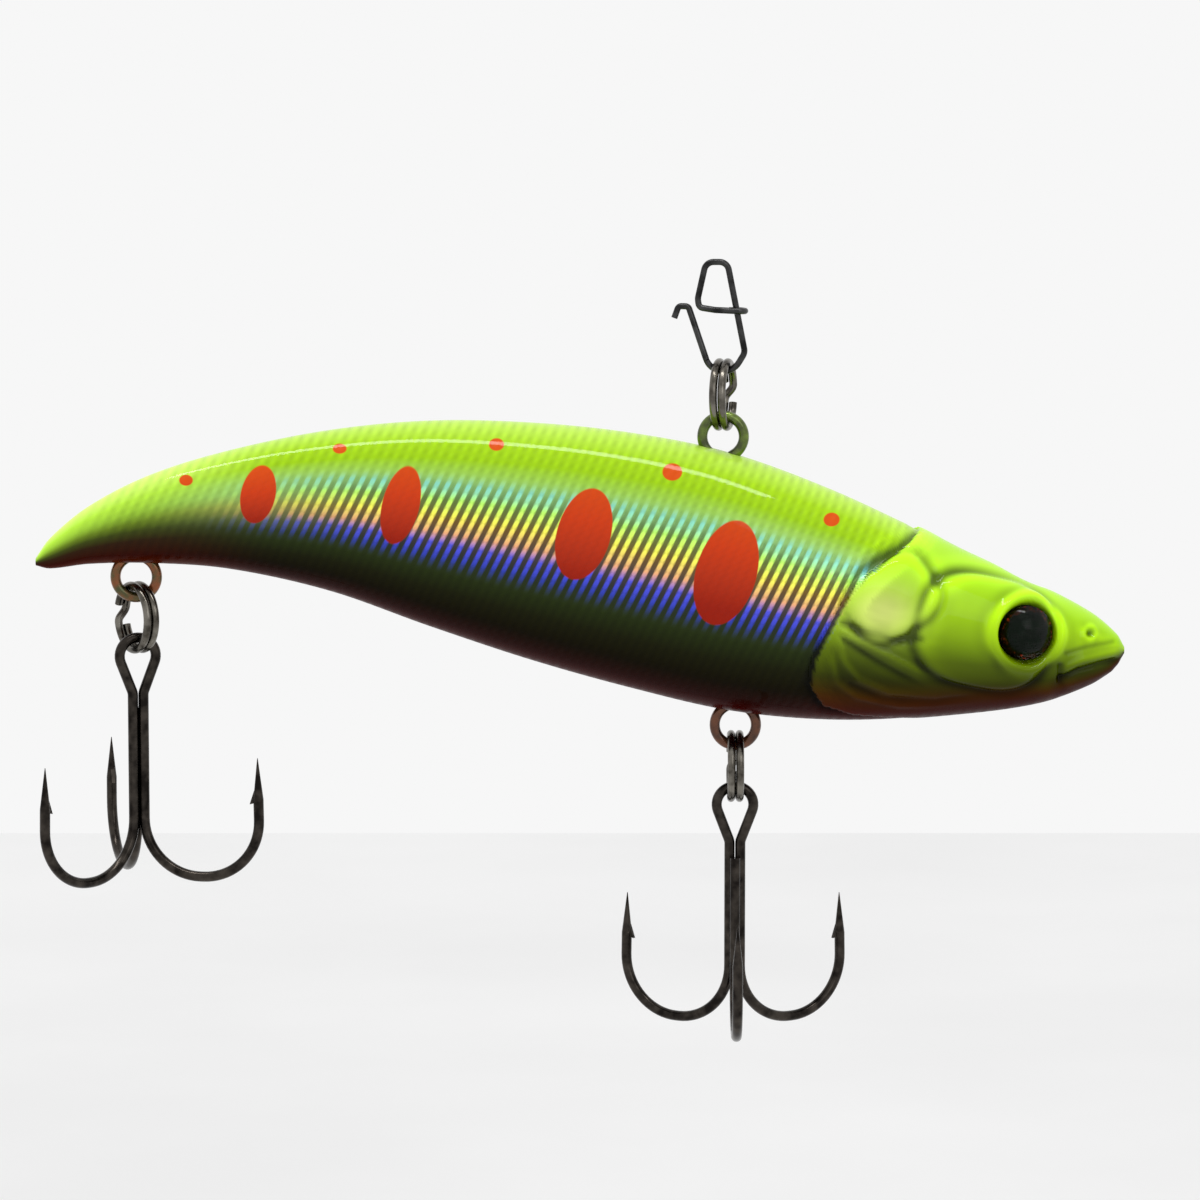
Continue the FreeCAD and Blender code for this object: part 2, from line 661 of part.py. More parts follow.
def snap_body():
    """The line loop, the clasp bar wrapped round the leg, the leg and the lower bend."""
    corner, pivot = bend_corner()
    leg_elbow = corner - LEG_FALL * 4.4
    leg_x = 1.84  # of the leg where the clasp bar wraps it
    points = [
        Vec(leg_x - 0.75, CLASP_LIFT, CLASP_Z + 0.02),
        Vec(leg_x + CLASP_LIFT, CLASP_LIFT, CLASP_Z),
        Vec(leg_x + CLASP_LIFT, -CLASP_LIFT, CLASP_Z),
        Vec(-0.1, -CLASP_LIFT, CLASP_Z + 0.12),
        Vec(-1.5, 0, CLASP_Z + 0.3),
        Vec(-1.62, 0, -2.9),
        Vec(-0.92, 0, SNAP_CROWN),
        Vec(0.92, 0, SNAP_CROWN),
        leg_elbow,
        corner,
        pivot,
    ]
    bends = [CLASP_LIFT - 0.02, CLASP_LIFT - 0.02, 0.6, 0.45, 1.0, 0.82, 0.82, 0.9]
    path = bent_path(points[:-1], bends)
    start, middle, end = corner_arc(leg_elbow, corner, pivot + GATE_RISE, SNAP_BEND_RADIUS)
    edges = path.OrderedEdges
    last = edges[-1]
    near = last.valueAt(last.FirstParameter)
    if near.distanceToPoint(corner) < 1e-4:
        near = last.valueAt(last.LastParameter)
    edges[-1] = Part.LineSegment(near, start).toShape()
    edges.append(Part.Arc(start, middle, end).toShape())
    wire = sweep_round(Part.Wire(edges), SNAP_WIRE / 2)
    return wire.cut(Part.makeSphere(SNAP_WIRE / 2 + GATE_GAP, pivot))


def snap_gate():
    """The sprung arm with its catch, which lies behind the line loop when it is closed."""
    pivot = GATE_PIVOT
    knee = pivot + GATE_RISE * 4.75 + Vec(0, CLASP_LIFT, 0)
    points = [pivot, knee, knee + Vec(-0.85, 0, 0.03), knee + Vec(-1.22, 0, -1.0)]
    arm = sweep_round(bent_path(points, [0.36, 0.36]), SNAP_WIRE / 2)
    return arm.fuse(Part.makeSphere(SNAP_WIRE / 2, pivot))


# ---- The whole lure ----------------------------------------------------------------------------------
def build():
    """Every piece of the lure by name."""
    body = body_solid()
    hollow = cavity()
    pieces = {
        "left_shell": half_shell(body, hollow, 1),
        "right_shell": half_shell(body, hollow, -1),
        "head_weight": weight(HEAD_WEIGHT_X, HEAD_WEIGHT_TOP),
        "rear_weight": weight(REAR_WEIGHT_X, REAR_WEIGHT_TOP),
    }
    for name in EYE_PLACES:
        pieces[name] = wire_eye(name)
    for name in TUBES:
        pieces[name] = rattle_ball(name)
    for side, word in ((1, "left"), (-1, "right")):
        pieces[word + "_fish_eye_disc"] = fish_eye_disc(side)
        pieces[word + "_fish_eye_lens"] = fish_eye_lens(side)
    pieces["line_split_ring"] = hung_ring(TIE_X, LINE_RING_Z, LINE_RING_YAW)
    pieces["belly_split_ring"] = hung_ring(BELLY_EYE_X, BELLY_RING_Z, BELLY_RING_YAW)
    pieces["tail_split_ring"] = hung_ring(TAIL_EYE_X, TAIL_RING_Z, TAIL_RING_YAW)
    hooks = (
        ("belly", BELLY_EYE_X, BELLY_HOOK_Z, BELLY_HOOK_TURN),
        ("tail", TAIL_EYE_X, TAIL_HOOK_Z, TAIL_HOOK_TURN),
    )
    for word, x, z, turn in hooks:
        pieces[word + "_double_hook"] = hung_hook(double_hook(), x, z, turn)
        pieces[word + "_single_hook"] = hung_hook(single_hook(), x, z, turn)
    pieces["snap_body"] = snap_body()
    pieces["snap_gate"] = snap_gate()
    return pieces


def main():
    os.makedirs("parts", exist_ok=True)
    for name, shape in build().items():
        shape.exportStep(f"parts/{name}.step")
        print(f"{name}: valid {shape.isValid()}, solids {len(shape.Solids)}, {shape.Volume:.2f} mm3")


if __name__ == "__main__":
    main()
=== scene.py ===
"""Looks of a lipless crankbait that hangs from its snap.

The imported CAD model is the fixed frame. The two moulded shells are replaced by one sculpted skin with gill
covers, mouth, nostrils, eye rims and foil paint. Every other piece keeps its CAD shape and gets a material.
"""

from __future__ import annotations

import logging
import math
from dataclasses import dataclass, field
from enum import Enum
from typing import Any, Sequence

import bpy
import numpy as np
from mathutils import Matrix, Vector

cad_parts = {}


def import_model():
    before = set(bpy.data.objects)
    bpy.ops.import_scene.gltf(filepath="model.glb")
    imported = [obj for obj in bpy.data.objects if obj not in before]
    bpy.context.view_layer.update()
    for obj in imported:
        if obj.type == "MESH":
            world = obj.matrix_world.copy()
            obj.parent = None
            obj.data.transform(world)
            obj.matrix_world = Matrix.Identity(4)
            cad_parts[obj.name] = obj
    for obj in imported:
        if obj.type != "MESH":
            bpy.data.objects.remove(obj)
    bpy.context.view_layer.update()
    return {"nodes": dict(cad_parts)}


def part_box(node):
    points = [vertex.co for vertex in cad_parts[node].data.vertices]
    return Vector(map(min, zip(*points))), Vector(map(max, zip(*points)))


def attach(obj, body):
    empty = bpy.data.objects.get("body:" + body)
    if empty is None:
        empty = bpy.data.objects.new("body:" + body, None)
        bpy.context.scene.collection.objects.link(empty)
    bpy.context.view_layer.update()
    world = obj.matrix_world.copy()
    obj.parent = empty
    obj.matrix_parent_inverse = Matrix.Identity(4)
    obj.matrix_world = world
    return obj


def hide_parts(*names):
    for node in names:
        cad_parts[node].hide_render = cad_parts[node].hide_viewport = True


LOG = logging.getLogger("crankbait")
MM = 0.001

# The body's outline, in shares as the CAD source has it: place from the tail, back, belly, half width.
OUTLINE = (
    (0.001, -0.412, -0.440, 0.060),
    (0.014, -0.336, -0.452, 0.150),
    (0.050, -0.212, -0.434, 0.260),
    (0.106, -0.092, -0.430, 0.410),
    (0.179, 0.003, -0.452, 0.560),
    (0.271, 0.081, -0.537, 0.710),
    (0.362, 0.117, -0.673, 0.820),
    (0.454, 0.110, -0.802, 0.910),
    (0.546, 0.071, -0.911, 0.965),
    (0.638, -0.007, -1.000, 1.000),
    (0.729, -0.146, -1.035, 0.985),
    (0.821, -0.324, -1.023, 0.880),
    (0.913, -0.498, -0.980, 0.640),
    (0.968, -0.618, -0.903, 0.400),
    (0.993, -0.705, -0.828, 0.190),
    (1.000, -0.755, -0.780, 0.060),
)
BODY_LENGTH = 94.7
BODY_DEPTH = 22.6
BODY_WIDTH = 13.4
SECTION_FULLNESS = 0.85
TIE_PLACE = 0.631
EYE_STAND_OUT = 1.25
EYE_LOOP_RADIUS = 1.8
EYE_WIRE = 0.9
FISH_EYE_RADIUS = 2.45
FISH_EYE_X = 85.94
FISH_EYE_Z = -15.4

Array = np.ndarray
Colour = tuple[float, float, float]
Point = tuple[float, float]


def srgb(red: float, green: float, blue: float) -> Colour:
    """Turns 0 to 255 display values into scene-linear ones.

    Args:
        red: red, 0 to 255.
        green: green, 0 to 255.
        blue: blue, 0 to 255.

    Returns:
        The linear colour.
    """

    def channel(value: float) -> float:
        v = value / 255
        return v / 12.92 if v <= 0.04045 else ((v + 0.055) / 1.055) ** 2.4

    return channel(red), channel(green), channel(blue)


def smoothstep(low: float, high: float, value: Array) -> Array:
    """A smooth ramp from 0 at low to 1 at high.

    Args:
        low: where the ramp starts.
        high: where it ends.
        value: the values to map.

    Returns:
        Values from 0 to 1.
    """
    t = np.clip((value - low) / (high - low), 0, 1)
    return t * t * (3 - 2 * t)


def outline_at(place: Array, column: int) -> Array:
    """One column of OUTLINE along the body, by cubic pieces through its rows.

    Args:
        place: shares of the length from the tail.
        column: the column to read.

    Returns:
        The column's value at each place.
    """
    x = np.array([row[0] for row in OUTLINE])
    y = np.array([row[column] for row in OUTLINE])
    low = np.maximum(np.arange(len(x)) - 1, 0)
    high = np.minimum(np.arange(len(x)) + 1, len(x) - 1)
    slope = (y[high] - y[low]) / (x[high] - x[low])
    i = np.clip(np.searchsorted(x, place) - 1, 0, len(x) - 2)
    span = x[i + 1] - x[i]
    t = (place - x[i]) / span
    return (
        (2 * t**3 - 3 * t**2 + 1) * y[i]
        + (t**3 - 2 * t**2 + t) * span * slope[i]
        + (3 * t**2 - 2 * t**3) * y[i + 1]
        + (t**3 - t**2) * span * slope[i + 1]
    )


# ---- Materials ---------------------------------------------------------------------------------------
@dataclass
class NodeGraph:
    """A material with short ways to add and join its nodes."""

    name: str
    material: Any = field(init=False)
    tree: Any = field(init=False)
    shader: Any = field(init=False)

    def __post_init__(self) -> None:
        self.material = bpy.data.materials.new(self.name)
        self.material.use_nodes = True
        self.tree = self.material.node_tree
        self.shader = self.tree.nodes["Principled BSDF"]

    def node(self, kind: str, values: dict[Any, Any] | None = None, **settings: Any) -> Any:
        """Adds a node.

        Args:
            kind: the node's type, without the ShaderNode prefix.
            values: input name or number to a value, or to an output socket to link.
            **settings: the node's own properties.

        Returns:
            The node.
        """
        made = self.tree.nodes.new("ShaderNode" + kind)
        for key, value in settings.items():
            setattr(made, key, value)
        for key, value in (values or {}).items():
            self.set(made.inputs[key], value)
        return made

    def set(self, socket: Any, value: Any) -> None:
        """Links an output to a socket, or sets the socket's value.

        Args:
            socket: the input socket.
            value: an output socket or a plain value.
        """
        if isinstance(value, bpy.types.NodeSocket):
            self.tree.links.new(value, socket)
        else:
            socket.default_value = value

    def finish(self, **values: Any) -> None:
        """Sets the shader's inputs, with underscores for the spaces in their names.

        Args:
            **values: input name to a value or an output socket.
        """
        for key, value in values.items():
            self.set(self.shader.inputs[key.replace("_", " ")], value)

    def math(self, operation: str, *values: Any) -> Any:
        """Adds a math node.

        Args:
            operation: what it does.
            *values: its inputs.

        Returns:
            Its output socket.
        """
        return self.node("Math", dict(enumerate(values)), operation=operation).outputs[0]

    def mix(self, factor: Any, first: Any, second: Any, blend: str = "MIX") -> Any:
        """Mixes two colours.

        Args:
            factor: share of the second.
            first: the first colour or socket.
            second: the second colour or socket.
            blend: how they mix.

        Returns:
            The output socket.
        """
        values = {0: factor}
        made = self.node("Mix", values, data_type="RGBA", blend_type=blend)
        for socket, value in ((made.inputs[6], first), (made.inputs[7], second)):
            self.set(socket, (*value, 1) if isinstance(value, tuple) and len(value) == 3 else value)
        return made.outputs[2]

    def noise(self, scale: float, detail: float = 4.0, vector: Any = None) -> Any:
        """Adds noise in the object's own coordinates.

        Args:
            scale: how fine it is, in periods per metre.
            detail: how many octaves.
            vector: the coordinates, or None for the object's.

        Returns:
            The noise's value socket.
        """
        place = vector or self.node("TexCoord").outputs["Object"]
        return self.node("TexNoise", {"Vector": place, "Scale": scale, "Detail": detail}).outputs[0]

    def ramp(self, factor: Any, stops: Sequence[tuple[float, Colour]]) -> Any:
        """Adds a colour ramp.

        Args:
            factor: the socket to map.
            stops: positions and colours.

        Returns:
            The colour socket.
        """
        made = self.node("ValToRGB", {0: factor})
        elements = made.color_ramp.elements
        while len(elements) < len(stops):
            elements.new(0.5)
        for element, (position, colour) in zip(elements, stops):
            element.position = position
            element.color = (*colour, 1)
        return made.outputs[0]

    def bump(self, height: Any, distance: float, strength: float = 1.0) -> Any:
        """Adds a bump.

        Args:
            height: the height socket, 0 to 1.
            distance: metres from 0 to 1.
            strength: how much of it shows.

        Returns:
            The normal socket.
        """
        values = {"Height": height, "Distance": distance, "Strength": strength}
        return self.node("Bump", values).outputs[0]


@dataclass(frozen=True)
class MetalFinish:
    """A plated or painted wire."""

    name: str
    bright: Colour
    dark: Colour
    roughness: float
    metallic: float = 1.0
    coat: float = 0.0

    def build(self) -> Any:
        """Makes the material.

        Returns:
            The Blender material.
        """
        graph = NodeGraph(self.name)
        cloud = graph.noise(900.0)
        fine = graph.noise(9000.0, 6.0)
        colour = graph.ramp(cloud, [(0.35, self.dark), (0.65, self.bright)])
        rough = graph.math("MULTIPLY_ADD", cloud, 0.16, self.roughness - 0.06)
        graph.finish(
            Base_Color=colour,
            Roughness=rough,
            Metallic=self.metallic,
            Coat_Weight=self.coat,
            Normal=graph.bump(fine, 0.00001, 0.35),
        )
        return graph.material


class Metal(Enum):
    """The lure's metals."""

    HOOK = MetalFinish("black_nickel", srgb(66, 61, 56), srgb(30, 27, 25), 0.2)
    RING = MetalFinish("ring_nickel", srgb(120, 116, 108), srgb(62, 58, 52), 0.18)
    SNAP = MetalFinish("snap_wire", srgb(70, 70, 70), srgb(36, 36, 36), 0.25)
    TIE_EYE = MetalFinish("painted_tie_eye", srgb(106, 128, 40), srgb(58, 66, 26), 0.22, 0.7, 0.5)
    BELLY_EYE = MetalFinish("painted_belly_eye", srgb(98, 54, 26), srgb(50, 28, 14), 0.22, 0.7, 0.5)
    TAIL_EYE = MetalFinish("painted_tail_eye", srgb(128, 66, 24), srgb(62, 66, 26), 0.22, 0.7, 0.5)
    WEIGHT = MetalFinish("cast_weight", srgb(130, 128, 122), srgb(92, 90, 86), 0.5)
    STEEL_BALL = MetalFinish("steel_ball", srgb(196, 198, 202), srgb(168, 170, 174), 0.12)
    BRASS_BALL = MetalFinish("brass_ball", srgb(206, 168, 88), srgb(170, 132, 62), 0.16)


@dataclass(frozen=True)
class Spot:
    """An orange spot on the flank: its middle from the tail and from the back, and its half sizes, in mm."""

    x: float
    z: float
    half_x: float
    half_z: float
    lean: float = 0.0


SPOTS = (
    Spot(19.7, -3.4, 1.5, 2.5, 13),
    Spot(32.0, -4.2, 1.6, 3.4, 14),
    Spot(47.7, -6.6, 2.3, 4.0, 16),
    Spot(59.9, -9.9, 2.6, 4.6, 16),
    Spot(13.4, -2.3, 0.6, 0.45),
    Spot(26.7, 0.5, 0.6, 0.4),
    Spot(40.2, 0.9, 0.65, 0.5),
    Spot(55.3, -1.4, 0.85, 0.7),
    Spot(69.0, -5.5, 0.7, 0.55),
)
# Spot orange by height on the flank; its darkening towards the belly is painted shade.
SPOT_ORANGE = (
    (0.42, srgb(146, 24, 0)),
    (0.66, srgb(190, 52, 0)),
    (0.90, srgb(200, 74, 0)),
)
IRIS_FLECKS = (
    (0.50, srgb(18, 10, 2)),
    (0.62, srgb(60, 22, 6)),
    (0.72, srgb(214, 64, 34)),
)
# Foil colours by height on the flank: on the scales' bright sides, and between them.
FOIL_GLINT = (
    (0.30, srgb(44, 62, 30)),
    (0.38, srgb(48, 64, 214)),
    (0.45, srgb(84, 88, 226)),
    (0.50, srgb(244, 176, 128)),
    (0.58, srgb(255, 250, 92)),
    (0.66, srgb(190, 255, 110)),
    (0.73, srgb(110, 216, 232)),
    (0.80, srgb(176, 218, 110)),
)
FOIL_DIM = (
    (0.30, srgb(20, 28, 4)),
    (0.40, srgb(34, 40, 44)),
    (0.48, srgb(70, 62, 66)),
    (0.56, srgb(112, 84, 36)),
    (0.66, srgb(96, 122, 60)),
    (0.75, srgb(104, 160, 112)),
    (0.82, srgb(142, 196, 44)),
)


@dataclass(frozen=True)
class BodyFrame:
    """Where the body lies in the row frame, found from the line tie's eye."""

    tie_x: float
    back_z: float

    @classmethod
    def from_eye(cls) -> BodyFrame:
        """Reads the place from the line tie's CAD box.

        Returns:
            The frame, in mm.
        """
        low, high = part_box("line_tie_eye")
        middle_z = high[2] / MM - EYE_LOOP_RADIUS - EYE_WIRE / 2
        return cls((low[0] + high[0]) / 2 / MM, middle_z - EYE_STAND_OUT)

    def world(self, x: float, z: float) -> tuple[float, float]:
        """From mm along the body and below the back to row coordinates in metres.

        Args:
            x: from the tail.
            z: from the back above the line tie.

        Returns:
            Row X and Z.
        """
        return (self.tie_x + x - TIE_PLACE * BODY_LENGTH) * MM, (self.back_z + z) * MM


@dataclass(frozen=True)
class SkinFinish:
    """Candy paint over holographic foil, with embossed scales and spots, under clear lacquer, in mm."""

    frame: BodyFrame
    scale_pitch: Point = (0.94, -1.88)
    patch_pitch: Point = (5.0, 0.8)
    emboss: float = 0.07
    spot_edge: float = 0.04
    spot_depth: float = 1000.0

    def build(self) -> Any:
        """Makes the material.

        Returns:
            The Blender material.
        """
        graph = NodeGraph("foil_and_candy_paint")
        place = graph.node("TexCoord").outputs["Object"]
        # The paint attribute holds the body's colours with their painted shade and painted highlight.
        paint = graph.node("Attribute", attribute_name="paint").outputs["Color"]
        foil, trunk, share = (
            graph.node("Attribute", attribute_name=name).outputs["Fac"] for name in ("foil", "trunk", "share")
        )
        scales = self.scales(graph, place)
        glint = graph.node("MapRange", {0: scales, 1: 0.4, 2: 0.72, 3: 0.0, 4: 1.0}).outputs[0]
        foil_colour = graph.mix(glint, graph.ramp(share, FOIL_DIM), graph.ramp(share, FOIL_GLINT))
        # Painted shade: the paint is darker in the gaps between the embossed scale rows.
        gaps = graph.math("SUBTRACT", 1.0, scales)
        shaded = graph.math("MULTIPLY", gaps, graph.math("MULTIPLY", trunk, 0.22))
        colour = graph.mix(shaded, paint, (0.0, 0.0, 0.0))
        colour = graph.mix(foil, colour, foil_colour)
        fill = self.spots(graph, place)
        colour = graph.mix(fill, colour, graph.ramp(share, SPOT_ORANGE))
        clear = graph.math("SUBTRACT", 1.0, fill)
        graph.finish(
            Base_Color=colour,
            Metallic=graph.math("MULTIPLY", graph.math("MULTIPLY", foil, 0.6), clear),
            Roughness=graph.math("MULTIPLY_ADD", scales, 0.12, 0.26),
            IOR=1.2,
            Coat_Weight=graph.node("MapRange", {0: share, 1: 0.15, 2: 0.55, 3: 0.04, 4: 0.34}).outputs[0],
            Coat_Roughness=0.04,
            Specular_IOR_Level=0.1,
            Normal=graph.bump(graph.math("MULTIPLY", scales, trunk), self.emboss * MM, 0.8),
        )
        return graph.material

    def scales(self, graph: NodeGraph, place: Any) -> Any:
        """Slanting rows of embossed scales, stronger and weaker in patches.

        Args:
            graph: the material.
            place: the object coordinates.

        Returns:
            The rows' socket, 0 to 1.
        """
        x, _, z = graph.node("SeparateXYZ", {0: place}).outputs

        def wave(pitch: Point) -> Any:
            along = graph.math("MULTIPLY", x, 2 * math.pi / (pitch[0] * MM))
            phase = graph.math("MULTIPLY_ADD", z, 2 * math.pi / (pitch[1] * MM), along)
            return graph.math("SINE", phase)

        patches = graph.math("MULTIPLY_ADD", wave(self.patch_pitch), 0.3, 0.7)
        rows = graph.math("MULTIPLY", wave(self.scale_pitch), patches)
        return graph.math("MULTIPLY_ADD", rows, 0.5, 0.5)

    def spots(self, graph: NodeGraph, place: Any) -> Any:
        """All the spots in one mask.

        Args:
            graph: the material.
            place: the object coordinates.

        Returns:
            The mask's socket.
        """
        fill = self.spot(graph, place, SPOTS[0])
        for spot in SPOTS[1:]:
            fill = graph.math("MAXIMUM", fill, self.spot(graph, place, spot))
        return fill

    def spot(self, graph: NodeGraph, place: Any, spot: Spot) -> Any:
        """A mask that is 1 inside a spot.

        Args:
            graph: the material.
            place: the object coordinates.
            spot: the spot.

        Returns:
            The mask's socket.
        """
        x, z = self.frame.world(spot.x, spot.z)
        values = {
            "Vector": place,
            "Location": (x, 0, z),
            "Rotation": (0, math.radians(spot.lean), 0),
            "Scale": (spot.half_x * MM, self.spot_depth, spot.half_z * MM),
        }
        local = graph.node("Mapping", values, vector_type="TEXTURE").outputs[0]
        radius = graph.node("VectorMath", {0: local}, operation="LENGTH").outputs["Value"]
        edge = self.spot_edge / min(spot.half_x, spot.half_z)
        values = {0: radius, 1: 1 + edge, 2: 1 - edge, 3: 0.0, 4: 1.0}
        return graph.node("MapRange", values, clamp=True).outputs[0]


@dataclass(frozen=True)
class EyeDiscFinish:
    """A dark pupil in a red-flecked iris. Radii are shares of the disc's."""

    frame: BodyFrame
    pupil: Point = (0.72, 0.78)
    edge: Point = (0.88, 0.95)
    pupil_colour: Colour = srgb(1, 12, 2)
    edge_colour: Colour = srgb(10, 10, 2)

    def build(self) -> Any:
        """Makes the material.

        Returns:
            The Blender material.
        """
        graph = NodeGraph("fish_eye_disc")
        x, z = self.frame.world(FISH_EYE_X, FISH_EYE_Z)
        scale = (FISH_EYE_RADIUS * MM, 1000.0, FISH_EYE_RADIUS * MM)
        values = {"Vector": graph.node("TexCoord").outputs["Object"], "Location": (x, 0, z), "Scale": scale}
        local = graph.node("Mapping", values, vector_type="TEXTURE").outputs[0]
        radius = graph.node("VectorMath", {0: local}, operation="LENGTH").outputs["Value"]
        flecks = graph.ramp(graph.noise(3200.0, 2.0), IRIS_FLECKS)
        colour = graph.mix(self.beyond(graph, radius, self.pupil), self.pupil_colour, flecks)
        colour = graph.mix(self.beyond(graph, radius, self.edge), colour, self.edge_colour)
        graph.finish(Base_Color=colour, Roughness=0.5, Specular_IOR_Level=0.0)
        return graph.material

    def beyond(self, graph: NodeGraph, radius: Any, ramp: Point) -> Any:
        """A mask of what lies outside a radius.

        Args:
            graph: the material.
            radius: the radius socket.
            ramp: where the mask starts and is full.

        Returns:
            The mask's socket.
        """
        return graph.node("MapRange", {0: radius, 1: ramp[0], 2: ramp[1], 3: 0.0, 4: 1.0}).outputs[0]


@dataclass(frozen=True)
class EyeLensFinish:
    """Clear domed resin."""

    tint: Colour = (0.96, 1.0, 0.96)
    refraction: float = 1.22

    def build(self) -> Any:
        """Makes the material.

        Returns:
            The Blender material.
        """
        graph = NodeGraph("fish_eye_lens")
        graph.finish(
            Base_Color=(*self.tint, 1.0),
            Roughness=0.02,
            IOR=self.refraction,
            Transmission_Weight=1.0,
            Normal=graph.bump(graph.noise(1500.0), 0.00001, 0.1),
        )
        return graph.material


# ---- The body's skin ---------------------------------------------------------------------------------
@dataclass(frozen=True)
class Line:
    """A groove or ridge along a polyline, in mm from the tail and the back. Its last end may taper."""

    points: tuple[Point, ...]
    height: float
    width: float
    taper: float = 0.01

    def height_at(self, x: Array, z: Array) -> Array:
        """How far the line stands out.

        Args:
            x: mm from the tail.
            z: mm from the back above the line tie.

        Returns:
            Height in mm, below zero for a groove.
        """
        distance, _ = line_distance(self.points, x, z)
        end_x, end_z = self.points[-1]
        fade = smoothstep(0, self.taper, np.hypot(x - end_x, z - end_z))
        return self.height * fade * np.exp(-((distance / self.width) ** 2))


@dataclass(frozen=True)
class Plate:
    """A raised plate with a rounded outline and a groove round it."""

    x: float
    z: float
    half_x: float
    half_z: float
    height: float
    groove: float
    lean: float
    power: float = 2.8
    rise: Point = (0.35, -0.55)
    groove_place: float = 0.35
    groove_width: float = 0.35

    def height_at(self, x: Array, z: Array) -> Array:
        """How far the plate stands out.

        Args:
            x: mm from the tail.
            z: mm from the back above the line tie.

        Returns:
            Height in mm, below zero in the groove.
        """
        turn = math.radians(self.lean)
        dx, dz = x - self.x, z - self.z
        u = (dx * math.cos(turn) + dz * math.sin(turn)) / self.half_x
        v = (dz * math.cos(turn) - dx * math.sin(turn)) / self.half_z
        level = (np.abs(u) ** self.power + np.abs(v) ** self.power) ** (1 / self.power)
        out = (level - 1) * min(self.half_x, self.half_z)
        groove = self.groove * np.exp(-(((out - self.groove_place) / self.groove_width) ** 2))
        return self.height * smoothstep(*self.rise, out) - groove


@dataclass(frozen=True)
class Round:
    """A ring or a knob on the head: its middle in mm, its radius, its width and its height."""

    x: float
    z: float
    radius: float
    width: float
    height: float

    def height_at(self, x: Array, z: Array) -> Array:
        """How far it stands out.

        Args:
            x: mm from the tail.
            z: mm from the back above the line tie.

        Returns:
            Height in mm.
        """
        distance = np.hypot(x - self.x, z - self.z)
        return self.height * np.exp(-(((distance - self.radius) / self.width) ** 2))


@dataclass(frozen=True)
class GillCover:
    """The bulge behind the gill edge's groove, and the heights between which both fade."""

    bulge: float = 0.32
    bulge_width: float = 3.2
    groove: float = 0.30
    groove_width: float = 0.55
    top: Point = (-5.2, -7.4)
    bottom: Point = (-23.6, -22.0)

    def height_at(self, x: Array, z: Array) -> Array:
        """How far the cover stands out.

        Args:
            x: mm from the tail.
            z: mm from the back above the line tie.

        Returns:
            Height in mm, below zero in the groove.
        """
        distance, side = line_distance(GILL_EDGE, x, z)
        bulge = self.bulge * np.exp(-((distance / self.bulge_width) ** 2))
        groove = -self.groove * np.exp(-((distance / self.groove_width) ** 2))
        return np.where(side > 0, bulge, groove) * smoothstep(*self.top, z) * smoothstep(*self.bottom, z)


GILL_EDGE = (
    (76.2, -7.3),
    (74.0, -8.9),
    (72.1, -10.1),
    (70.6, -11.7),
    (69.5, -13.7),
    (68.5, -15.6),
    (67.6, -17.5),
    (67.2, -19.7),
    (68.3, -21.5),
    (71.2, -22.5),
    (76.0, -23.0),
)
LINES = (
    Line(((69.8, -14.8), (72.7, -16.4), (75.0, -17.6), (77.2, -18.8), (79.0, -19.6)), 0.24, 0.24, 3.0),
    Line(((69.9, -14.2), (72.2, -15.0), (74.2, -15.6), (76.6, -15.7)), -0.30, 0.34),
    Line(((70.0, -15.6), (72.6, -17.4), (75.0, -18.8), (77.6, -20.0)), -0.22, 0.26, 3.0),
    Line(((69.6, -15.8), (70.1, -17.5), (71.4, -19.1), (74.0, -20.2), (79.5, -20.7)), 0.24, 0.28, 6.0),
    Line(((69.0, -17.4), (69.5, -19.3), (71.2, -20.6), (75.0, -21.4), (82.5, -21.5)), 0.18, 0.28, 9.0),
    Line(((70.6, -19.6), (73.4, -20.9), (78.0, -21.2), (84.0, -20.6)), -0.16, 0.26, 6.0),
    Line(((95.0, -17.9), (92.4, -18.3), (90.4, -18.8), (88.9, -19.5)), -0.34, 0.24),
    Line(((88.9, -18.3), (88.9, -19.8)), -0.30, 0.28),
    Line(((94.3, -17.3), (92.4, -17.5), (90.8, -17.8), (89.5, -18.4)), 0.22, 0.34),
    Line(((93.6, -16.5), (91.4, -16.7), (89.4, -17.2)), -0.14, 0.24),
    Line(((93.4, -18.9), (91.4, -19.5), (89.8, -20.0)), 0.12, 0.45),
)
PLATES = (
    Plate(74.2, -12.2, 3.7, 3.0, 0.34, 0.16, 34),
    Plate(82.2, -15.3, 5.7, 4.7, 0.34, 0.24, -14),
)
EYE_RIM = Round(FISH_EYE_X, FISH_EYE_Z, 3.0, 0.42, 0.38)
NOSTRILS_AND_CHIN = (
    Round(91.5, -15.6, 0.55, 0.25, 0.12),
    Round(91.5, -15.6, 0.0, 0.32, -0.28),
    Round(87.8, -20.5, 0.0, 0.8, 0.22),
)
SOCKET_DEPTH = 1.15
SOCKET_WALL = (2.6, 2.25)
SOCKET_CLEAR = (2.8, 2.5)
NOSE_FADE = (94.6, 93.4)


def line_distance(points: Sequence[Point], x: Array, z: Array) -> tuple[Array, Array]:
    """Distance to a polyline, and which side of it each place is on.

    Args:
        points: the polyline.
        x: places along the body.
        z: heights.

    Returns:
        The distance, and a sign that is positive to the right of the line's direction.
    """
    best = np.full(x.shape, 1e9)
    side = np.zeros(x.shape)
    for (x0, z0), (x1, z1) in zip(points, points[1:]):
        dx, dz = x1 - x0, z1 - z0
        t = np.clip(((x - x0) * dx + (z - z0) * dz) / (dx * dx + dz * dz), 0, 1)
        distance = np.hypot(x - x0 - t * dx, z - z0 - t * dz)
        nearer = distance < best
        best = np.where(nearer, distance, best)
        side = np.where(nearer, np.sign((z - z0) * dx - (x - x0) * dz), side)
    return best, side


